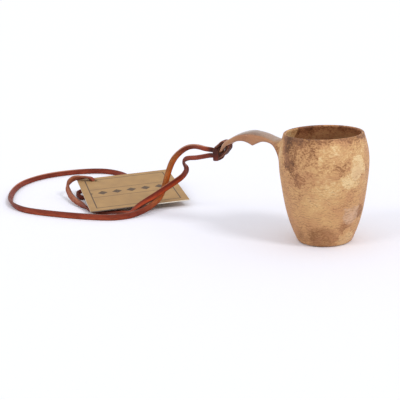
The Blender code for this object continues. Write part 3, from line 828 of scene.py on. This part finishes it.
class Value:
    """What a node of a material gives: a number, a place or a colour."""

    def __init__(self, shader, socket):
        self.shader = shader
        self.socket = socket

    def maths(self, operation, *others):
        return self.shader.node("Math", (self, *others), operation=operation)

    def vector(self, operation, other, output="Vector"):
        return self.shader.node("VectorMath", (self, other), output, operation=operation)

    def __add__(self, other):
        return self.maths("ADD", other)

    __radd__ = __add__

    def __sub__(self, other):
        return self.maths("SUBTRACT", other)

    def __rsub__(self, other):
        return self.shader.node("Math", (other, self), operation="SUBTRACT")

    def __mul__(self, other):
        return self.maths("MULTIPLY", other)

    def __abs__(self):
        return self.maths("ABSOLUTE")

    def most(self, other):
        return self.maths("MAXIMUM", other)

    def axis(self, name):
        return self.shader.node("SeparateXYZ", (self,), name)

    def stretch(self, shares):
        return self.vector("MULTIPLY", shares)

    def noise(self, scale, detail=2.0, roughness=0.5, output="Fac"):
        inputs = {"Vector": self, "Scale": scale, "Detail": detail, "Roughness": roughness}
        return self.shader.node("TexNoise", inputs, output)

    def swirl(self, scale, amount, detail=2.0):
        """The place, carried about by a slow noise of that scale."""
        shift = self.noise(scale, detail, output="Color").vector("SUBTRACT", (0.5, 0.5, 0.5))
        return self.vector("ADD", shift.stretch((amount, amount, amount)))

    def range(self, low, high, out_low=0.0, out_high=1.0, kind="SMOOTHSTEP"):
        inputs = (self, low, high, out_low, out_high)
        return self.shader.node("MapRange", inputs, interpolation_type=kind)

    def fall(self, low, high):
        return self.range(low, high, 1.0, 0.0)

    def between(self, start, end, share=1.0):
        """The share from a start to an end, each a pair of values between which it changes."""
        return self.range(*start, 0.0, share) * self.fall(*end)

    def distance(self, centre):
        return self.vector("DISTANCE", centre, "Value")

    def near(self, centre, radius, strength, fade):
        """The strength round a centre, which fades over the outer share of the radius."""
        return self.distance(centre).range((1.0 - fade) * radius, radius, strength, 0.0)

    def ramp(self, *stops):
        made = self.shader.node("ValToRGB", (self,))
        points = made.socket.node.color_ramp.elements
        while len(points) < len(stops):
            points.new(0.5)
        for point, (place, colour) in zip(points, stops):
            point.position = place
            point.color = (*colour, 1.0)
        return made

    def mix(self, under, over):
        """One colour where the value is 0 and another where it is 1."""
        inputs = {0: self, MIX_UNDER: under, MIX_OVER: over}
        return self.shader.node("Mix", inputs, MIX_RESULT, data_type="RGBA")


class Shader:
    """The nodes of a material or of the world."""

    def __init__(self, owner):
        owner.use_nodes = True
        self.owner = owner
        self.tree = owner.node_tree

    def inputs(self, name):
        """Inputs of a node that was there from the start."""
        return self.tree.nodes[name].inputs

    def put(self, socket, value):
        if isinstance(value, Value):
            self.tree.links.new(value.socket, socket)
        else:
            socket.default_value = (*value, 1.0) if socket.type == "RGBA" else value

    def node(self, kind, inputs=(), output=0, **settings):
        made = self.tree.nodes.new("ShaderNode" + kind)
        for key, value in settings.items():
            setattr(made, key, value)
        for key, value in inputs.items() if isinstance(inputs, dict) else enumerate(inputs):
            self.put(made.inputs[key], value)
        return Value(self, made.outputs[output])

    def millimetres(self):
        return self.node("TexCoord", output="Object").stretch((1.0 / MM, 1.0 / MM, 1.0 / MM))

    def attribute(self, name, output):
        return self.node("Attribute", output=output, attribute_name=name)

    def upward(self):
        """How far the surface faces up, from -1 to 1."""
        return self.node("NewGeometry", output="Normal").axis("Z")

    def finish(self, colour, roughness, height, bump, distance, specular):
        bumped = self.node("Bump", {"Strength": bump, "Distance": distance, "Height": height})
        inputs = {"Base Color": colour, "Roughness": roughness, "Specular IOR Level": specular,
                  "Normal": bumped}
        for key, value in inputs.items():
            self.put(self.inputs("Principled BSDF")[key], value)
        return self.owner


def linear(red, green, blue):
    """Linear colour of a display colour in 0 to 255."""
    values = []
    for c in (red, green, blue):
        c = c / 255.0
        values.append(c / 12.92 if c <= 0.04045 else ((c + 0.055) / 1.055) ** 2.4)
    return tuple(values)


def cover(colour, *layers):
    """A colour under layers of (share, colour)."""
    for share, shade in layers:
        colour = share.mix(colour, shade)
    return colour


# Wood: patches of pale and dark figure, as place, radius, strength and share that fades
WOOD_PATCHES = [
    ((9.8, -19.6, 50.5), 6.0, 0.08, 0.3),
    ((15.2, -15.6, 50.0), 7.0, 0.08, 0.3),
    ((9.0, -20.7, 45.6), 4.6, 0.10, 0.3),
    ((20.8, -6.5, 52.0), 6.0, 0.12, 0.5),
    ((21.0, -8.6, 42.0), 7.0, 0.33, 0.35),
    ((19.4, -11.4, 36.0), 7.0, 0.32, 0.5),
    ((18.4, -12.8, 45.2), 3.4, -0.10, 0.5),
    ((3.0, -21.4, 50.8), 4.4, -0.10, 0.4),
    ((-8.0, -20.0, 52.0), 9.0, -0.16, 0.4),
    ((-12.5, -17.5, 53.0), 6.0, -0.20, 0.4),
    ((-25.5, -5.0, 46.0), 6.5, -0.30, 0.5),
    ((-9.6, -20.8, 43.0), 5.0, -0.26, 0.4),
    ((-4.4, -22.0, 36.1), 3.8, -0.30, 0.3),
    ((7.0, -21.0, 33.0), 15.0, 0.14, 0.6),
    ((6.0, -19.5, 20.0), 10.0, 0.06, 0.6),
    ((5.5, -15.5, 5.0), 9.5, -0.19, 0.6),
    ((-4.0, -15.5, 5.0), 12.0, -0.09, 0.7),
    ((-13.0, -11.0, 7.0), 11.0, -0.09, 0.7),
    ((14.6, -7.2, 3.6), 6.4, 0.24, 0.2),
    ((15.0, -9.4, 10.4), 5.0, -0.18, 0.5),
    ((19.8, -2.6, 18.0), 5.0, -0.24, 0.4),
    ((-16.0, 15.0, 40.0), 9.0, -0.20, 0.5),
    ((4.0, 22.0, 46.0), 8.0, 0.20, 0.5),
    ((10.0, 17.5, 20.0), 9.0, -0.20, 0.5),
    ((-9.0, 17.0, 14.0), 7.0, 0.18, 0.5),
]
PINK_PATCH = ((18.0, -8.0, 17.0), 6.2, 0.75, 0.4)
CRISP_FADE = 0.35
PATCHES_APART = 100.0
SEAM_MIDDLE = 0.1
SEAM_REACH = 0.8
SEAM_DEPTH = -0.07
MEAN_TONE = 0.52
FLAKE_SCALE = 0.15
FLAKE_DEPTH = 0.12
GRAIN_DEPTH = 0.14
FIGURE_LINE = 1.45
LINE_WANDER = 7.0
# How much of each there is by height: two heights, and the amounts at them
FIGURE_AMOUNT = (14.0, 40.0, 0.20, 0.48)
MOTTLE_AMOUNT = (10.0, 40.0, 0.20, 0.80)
FLAKE_AMOUNT = (24.0, 40.0, 0.25, 1.0)
GRAIN_AMOUNT = (12.0, 42.0, 0.45, 1.0)
LINE_AMOUNT = (32.0, 42.0, 0.44, 0.22)
LIP_TONE = (52.0, 56.2, 0.0, -0.27)
# Handle: where it starts, the slopes between which its top darkens, its polish, and by how
# much less there is of each there
HANDLE_START = (-27.0, -22.0)
HANDLE_UPWARD = (0.78, 0.98)
HANDLE_SHARE = 0.7
HANDLE_COAT = 0.40
COAT_ROUGHNESS = 0.22
MOTTLE_CALM = 0.75
GRAIN_CALM = 0.6
ROUGHNESS_CALM = 0.5
# Inside of the cup: painted shade tints, darker lower down, and a painted pool of light by the handle that
# ends at a slanting edge
INSIDE_DEPTHS = (0.9, 1.5)
INSIDE_HEIGHTS = (45.0, 56.0)
INSIDE_PAINTED_SHADE = (0.76, 0.62, 0.58)
INSIDE_PAINTED_SHADE_LOW = (0.46, 0.37, 0.36)
LIT_SLOPE = 0.46
LIT_EDGE = (-18.2, -17.6)
LIT_REACH = (-8.0, -4.0)
LIT_HEIGHTS = (42.0, 50.0)
LIT_STRENGTH = 0.28
# The outside draws in from the belly by these shares of the squared height from it
BELLY_FALL_ABOVE = 0.0120
BELLY_FALL_BELOW = 0.0055


def wood():
    shader = Shader(bpy.data.materials.new("burl_wood"))
    place = shader.millimetres()
    height = place.axis("Z")
    on_handle = place.axis("X").fall(*HANDLE_START)
    swirled = place.swirl(0.10, 9.0)
    mottle = swirled.swirl(0.42, 4.5, 3.0).noise(0.26, 6.0, 0.66)
    ragged = place.swirl(0.20, 6.0).swirl(0.8, 5.5, 3.0)
    lines = wood_lines(place, height)
    painted_light = painted_inside_light(place, height)
    inside = wall_depth(place, height).range(*INSIDE_DEPTHS)
    tone = sum([
        (swirled.noise(0.075, 3.0) - 0.5) * height.range(*FIGURE_AMOUNT),
        (mottle - 0.5) * height.range(*MOTTLE_AMOUNT) * (1.0 - on_handle * MOTTLE_CALM),
        wood_patches(ragged),
        wood_flakes(ragged) * height.range(*FLAKE_AMOUNT),
        wood_grains(place) * height.range(*GRAIN_AMOUNT) * (1.0 - on_handle * GRAIN_CALM),
        height.range(*LIP_TONE),
        # Painted light: the pool of light on the inner wall by the handle
        painted_light * inside * LIT_STRENGTH,
    ], MEAN_TONE)
    colour = cover(
        wood_ramp(tone),
        (place.noise(0.11, 3.0).range(0.44, 0.66, 0.0, 0.35), linear(196, 138, 99)),
        (ragged.near(*PINK_PATCH) * mottle.range(0.36, 0.56, 0.35, 1.0), linear(218, 181, 154)),
        (on_handle * HANDLE_SHARE, handle_colour(shader)),
        (lines * height.range(*LINE_AMOUNT), linear(128, 78, 48)),
    )
    # Painted shade inside the cup, darker lower down, left out under the painted light
    painted_shade = height.range(*INSIDE_HEIGHTS).mix(INSIDE_PAINTED_SHADE_LOW, INSIDE_PAINTED_SHADE)
    colour = (inside * (1.0 - painted_light)).mix(colour, colour.vector("MULTIPLY", painted_shade))
    roughness = mottle.range(0.3, 0.7, 0.50, 0.64) * (1.0 - on_handle * ROUGHNESS_CALM)
    surface = shader.inputs("Principled BSDF")
    shader.put(surface["Coat Weight"], on_handle * HANDLE_COAT)
    shader.put(surface["Coat Roughness"], COAT_ROUGHNESS)
    return shader.finish(colour, roughness, 1.0 - lines, 0.3, 0.0001, 0.4)


def wood_ramp(tone):
    """Colours of the wood from dark to pale."""
    return tone.ramp(
        (0.06, linear(98, 60, 34)),
        (0.28, linear(155, 106, 65)),
        (0.50, linear(208, 157, 109)),
        (0.68, linear(220, 176, 121)),
        (0.90, linear(240, 208, 158)),
    )


def wood_patches(ragged):
    """Pale and dark patches, to add to the tone, with a seam round the crisp pale ones."""
    from_pale = PATCHES_APART
    for centre, radius, strength, fade in WOOD_PATCHES:
        if strength > 0.0 and fade <= CRISP_FADE:
            from_pale = (ragged.distance(centre) - radius).maths("MINIMUM", from_pale)
    seam = abs(from_pale).range(SEAM_MIDDLE, SEAM_REACH, SEAM_DEPTH, 0.0)
    return sum([ragged.near(*patch) for patch in WOOD_PATCHES], seam)


def wood_flakes(place):
    """Flakes of lighter and darker figure with crisp edges, to add to the tone."""
    cells = place.shader.node("TexVoronoi", {"Vector": place, "Scale": FLAKE_SCALE}, "Color")
    return cells.range(0.0, 1.0, -FLAKE_DEPTH, FLAKE_DEPTH, "LINEAR")


def wood_grains(place):
    """Small pale and dark grains, to add to the tone."""
    grains = place.swirl(0.28, 2.6).stretch((0.8, 0.8, 1.5)).noise(1.1, 3.0, 0.6)
    return grains.range(0.38, 0.62, -GRAIN_DEPTH, GRAIN_DEPTH, "LINEAR")


def wood_lines(place, height):
    """1 on the thin wavy lines that run round the cup, broken up by noise."""
    phase = place.noise(0.16) * (4.0 * LINE_WANDER) + place.noise(0.75) * LINE_WANDER
    wave = (height * (2.0 * math.pi / FIGURE_LINE) + phase).maths("SINE")
    broken = place.stretch((0.32, 0.32, 0.75)).noise(1.0, 3.0).range(0.40, 0.62)
    return wave.range(0.25, 1.0) * broken


def handle_colour(shader):
    """The handle's wood, darker and greyer on its upward side."""
    return shader.upward().range(*HANDLE_UPWARD).mix(linear(163, 106, 73), linear(114, 87, 70))


def painted_inside_light(place, height):
    """1 on the painted pool of light inside the rim by the handle, which ends at a slanting edge."""
    slant = place.axis("Y") - height * LIT_SLOPE
    by_handle = place.axis("X").fall(*LIT_REACH)
    return slant.fall(*LIT_EDGE) * by_handle * height.range(*LIT_HEIGHTS)


def wall_depth(place, height):
    """Depth below the cup's outside, about, in millimetres."""
    radius = place.stretch((1.0, 1.0, 0.0)).distance((0.0, 0.0, 0.0))
    from_belly = height - BELLY_HEIGHT
    fall = from_belly.range(-0.1, 0.1, BELLY_FALL_BELOW, BELLY_FALL_ABOVE)
    return BELLY_RADIUS - (from_belly * from_belly * fall + radius)


# Leather: painted light on some stretches of the lace, as where along the lace each starts and ends, its
# share, and its shade at either edge
LIT_STRETCHES = [
    ((268.0, 296.0), (318.0, 338.0), 0.85, (204, 100, 26), (204, 126, 66)),
    ((466.0, 478.0), (508.0, 524.0), 0.92, (182, 66, 20), (112, 30, 12)),
    ((552.0, 564.0), (596.0, 608.0), 0.60, (196, 124, 84), (170, 92, 58)),
    ((186.0, 206.0), (254.0, 268.0), 0.45, (188, 88, 50), (150, 64, 40)),
]
PALE_EDGE = ((60.0, 84.0), (136.0, 152.0))
# Painted shade in the hitch and painted shadow on the knot's tail, as place, radius, strength and share
# that fades, and the first one's amount by height
HITCH_SHADE = ((-59.5, 0.0, 43.0), 9.5, 0.85, 0.4)
TAIL_SHADOW = ((-174.9, 24.8, 3.0), 6.5, 0.4, 0.4)
HITCH_SHADE_AMOUNT = (39.5, 43.0, 0.35, 1.0)
# Cut edges: the heights between which they grow paler, and the slopes between which their painted shade on
# the downward side gives way. Places across the strip and through it run from -1 to 1.
EDGE_HEIGHTS = (7.0, 18.0)
EDGE_SHADE_UPWARD = (-0.1, 0.4)
EDGE_ACROSS = (0.86, 0.97)
EDGE_SHARE = 0.8
HITCH_OUTER = (-0.75, -0.40)
SIDE_ACROSS = (-0.6, 0.6)


def leather():
    shader = Shader(bpy.data.materials.new("brown_leather"))
    place = shader.millimetres()
    height = place.axis("Z")
    strip_place = shader.attribute("strip_place", "Vector")
    grain_place = strip_place.stretch((1.5, 0.75, 1.0))
    streak = grain_place.stretch((2.2, 2.2, 0.30)).noise(1.0, 3.0, 0.6)
    pebble = grain_place.noise(4.5)
    in_hitch = place.near(*HITCH_SHADE)
    colour = cover(
        leather_face(strip_place, grain_place),
        # Painted shade: the hitch's faces darkened where they wrap the handle's tip
        (in_hitch * height.range(*HITCH_SHADE_AMOUNT), linear(46, 22, 18)),
        # Painted shadow on the knot's tail where it lies under the tag's edge
        (place.near(*TAIL_SHADOW), linear(64, 28, 24)),
        (streak.range(0.42, 0.70, 0.0, 0.45), linear(84, 34, 24)),
    )
    edge = abs(strip_place.axis("X")).range(*EDGE_ACROSS).most(shader.attribute("cut_edge", "Fac"))
    edge_colour = cover(
        leather_edge(strip_place, height),
        # Painted shade on the hitch's cut edges, which stay pale only on their outer side
        (in_hitch, strip_place.axis("Y").fall(*HITCH_OUTER).mix(linear(64, 34, 27), linear(204, 152, 122))),
        (pebble.range(0.35, 0.65, 0.0, 0.5), linear(120, 64, 46)),
    )
    colour = (edge * EDGE_SHARE).mix(colour, edge_colour)
    return shader.finish(colour, streak.range(0.3, 0.7, 0.46, 0.62), pebble, 0.35, 0.00012, 0.22)


def leather_face(strip_place, grain_place):
    """The lace's faces, with painted light on some stretches."""
    colour = grain_place.stretch((0.4, 0.4, 0.07)).noise(1.0, 3.0).ramp(
        (0.30, linear(108, 40, 25)),
        (0.52, linear(136, 53, 34)),
        (0.74, linear(166, 74, 47)),
    )
    along = strip_place.axis("Z")
    side = strip_place.axis("X").range(*SIDE_ACROSS)
    # Painted light: stretches of the lace painted lighter and more orange, in place of the light on them
    for start, end, share, shade, other_shade in LIT_STRETCHES:
        painted_lit_colour = side.mix(linear(*shade), linear(*other_shade))
        colour = along.between(start, end, share).mix(colour, painted_lit_colour)
    return colour


def leather_edge(strip_place, height):
    """The lace's cut edges: paler higher up and along one stretch, with painted shade where they face down.
    """
    colour = height.range(*EDGE_HEIGHTS).mix(linear(104, 54, 40), linear(206, 146, 110))
    colour = strip_place.axis("Z").between(*PALE_EDGE).mix(colour, linear(222, 156, 126))
    # Painted shade on the edges that face down
    return height.shader.upward().range(*EDGE_SHADE_UPWARD).mix(linear(84, 36, 24), colour)


# Print on the tag: a thin square frame and a band of small diamonds, in millimetres
FRAME_INSET = 4.5
FRAME_LINE = 0.7
FRAME_CLEAR = 0.2
BAND_LINE = 0.5
BAND_HALF = 7.0
DIAMOND_PITCH = 9.0
DIAMOND_HALF = 3.2
DIAMOND_BLUR = 0.15
# Painted shadow on the tag's front edge: how far in it goes, and where along the edge it ends
SHADOW_DEPTHS = (0.1, 0.5)
SHADOW_END = (5.0, 11.0)


def print_line(value, middle, width):
    """1 on a printed line, where a value is near the line's middle."""
    return abs(value - middle).fall(width * 0.4, width * 0.6)


def card_print(place):
    """1 where the tag is printed."""
    x = place.axis("X")
    far_y = abs(place.axis("Y"))
    from_middle = abs(x).most(far_y)
    inset = TAG_SIDE / 2.0 - FRAME_INSET
    diamond_gap = x.maths("PINGPONG", DIAMOND_PITCH / 2.0) + far_y
    diamond = diamond_gap.fall(DIAMOND_HALF - DIAMOND_BLUR, DIAMOND_HALF + DIAMOND_BLUR)
    band = print_line(far_y, BAND_HALF, BAND_LINE).most(diamond)
    inner = from_middle.fall(inset - FRAME_CLEAR, inset)
    return print_line(from_middle, inset, FRAME_LINE).most(band * inner)


def card_face():
    shader = Shader(bpy.data.materials.new("kraft_card"))
    place = shader.millimetres()
    cloud = place.noise(0.12, 3.0)
    fibre = place.swirl(0.5, 2.0).stretch((0.9, 3.4, 1.0)).noise(1.0, 4.0, 0.65)
    speck = place.noise(3.2)
    colour = cover(
        cloud.ramp((0.30, linear(168, 133, 91)), (0.70, linear(184, 148, 103))),
        (fibre.range(0.52, 0.74, 0.0, 0.30), linear(134, 100, 66)),
        (speck.range(0.62, 0.72, 0.0, 0.35), linear(206, 178, 140)),
        (card_print(place) * speck.range(0.30, 0.50, 0.72, 0.92), linear(84, 70, 62)),
    )
    return shader.finish(colour, cloud.range(0.3, 0.7, 0.66, 0.80), fibre, 0.25, 0.0001, 0.3)


def card_edge():
    shader = Shader(bpy.data.materials.new("card_core"))
    place = shader.millimetres()
    layers = place.stretch((0.6, 0.6, 9.0)).noise(1.0, 3.0, 0.6)
    colour = layers.ramp((0.30, linear(232, 220, 200)), (0.70, linear(254, 250, 242)))
    # Painted shadow: the front edge darkened over its left part
    front = (place.axis("Y") + TAG_SIDE / 2.0).range(*SHADOW_DEPTHS, 0.85, 0.0)
    colour = (front * place.axis("X").fall(*SHADOW_END)).mix(colour, linear(74, 52, 44))
    return shader.finish(colour, layers.range(0.3, 0.7, 0.75, 0.90), layers, 0.4, 0.0001, 0.2)


# Stage

FLOOR_HALF = 8.0
# Lamps: name, strength, width, angle to the right of the camera, and height, angles in degrees
LAMPS = [
    ("key", 0.86, 14.0, 46.0, 43.0),
    ("fill", 0.34, 18.0, -58.0, 42.0),
]
SKY_STRENGTH = 0.735
FLOOR_SHOWN = (1.002, 1.01, 1.10)
FLOOR_TINT = (0.80, 0.80, 0.81)


def seen_directly(shader):
    """1 for rays from the camera, and for those that a gloss or glass sends on."""
    seen = shader.node("LightPath", output="Is Camera Ray")
    for name in ("Is Glossy Ray", "Is Transmission Ray"):
        seen = seen.most(shader.node("LightPath", output=name))
    return seen


def make_floor():
    mesh = bpy.data.meshes.new("floor")
    signs = ((-1, -1), (1, -1), (1, 1), (-1, 1))
    corners = [(x * FLOOR_HALF, y * FLOOR_HALF, 0.0) for x, y in signs]
    mesh.from_pydata(corners, [], [(0, 1, 2, 3)])
    shader = Shader(bpy.data.materials.new("pale_floor"))
    colour = seen_directly(shader).mix(FLOOR_TINT, FLOOR_SHOWN)
    shader.put(shader.inputs("Material Output")["Surface"], shader.node("BsdfDiffuse", {"Color": colour}))
    mesh.materials.append(shader.owner)
    floor = add_object("floor", mesh)


def make_light():
    world = bpy.data.worlds.new("studio")
    bpy.context.scene.world = world
    sky = Shader(world)
    back = sky.inputs("Background")
    sky.put(back["Color"], (1.0, 1.0, 1.0))
    sky.put(back["Strength"], seen_directly(sky).range(0.0, 1.0, SKY_STRENGTH, 1.0, "LINEAR"))
    for name, strength, width, from_right, height in LAMPS:
        make_lamp(name, strength, math.radians(width), math.radians(from_right), math.radians(height))


def make_lamp(name, strength, width, from_right, height):
    lamp = bpy.data.lights.new(name, "SUN")
    lamp.energy = strength
    lamp.angle = width
    piece = add_object(name, lamp)
    heading = CAMERA_HEADING + from_right
    source = Vector((math.sin(heading), -math.cos(heading), math.tan(height)))
    piece.rotation_mode = "QUATERNION"
    piece.rotation_quaternion = source.to_track_quat("Z", "Y")


def make_camera():
    lens = bpy.data.cameras.new("camera")
    lens.sensor_width = CAMERA_SENSOR
    lens.lens = CAMERA_LENS
    lens.clip_start = CAMERA_NEAR
    camera = add_object("camera", lens)
    heading = Matrix.Rotation(CAMERA_HEADING, 4, "Z")
    pitch = Matrix.Rotation(math.pi / 2.0 - CAMERA_PITCH, 4, "X")
    roll = Matrix.Rotation(-CAMERA_ROLL, 4, "Z")
    camera.matrix_world = Matrix.Translation(CAMERA_PLACE) @ heading @ pitch @ roll
    bpy.context.scene.camera = camera


def main():
    bpy.context.scene.view_settings.view_transform = "Standard"
    make_camera()
    lace = leather()
    make_lace(lace, make_knot(lace))
    make_cup()
    make_tag()
    make_floor()
    make_light()


main()
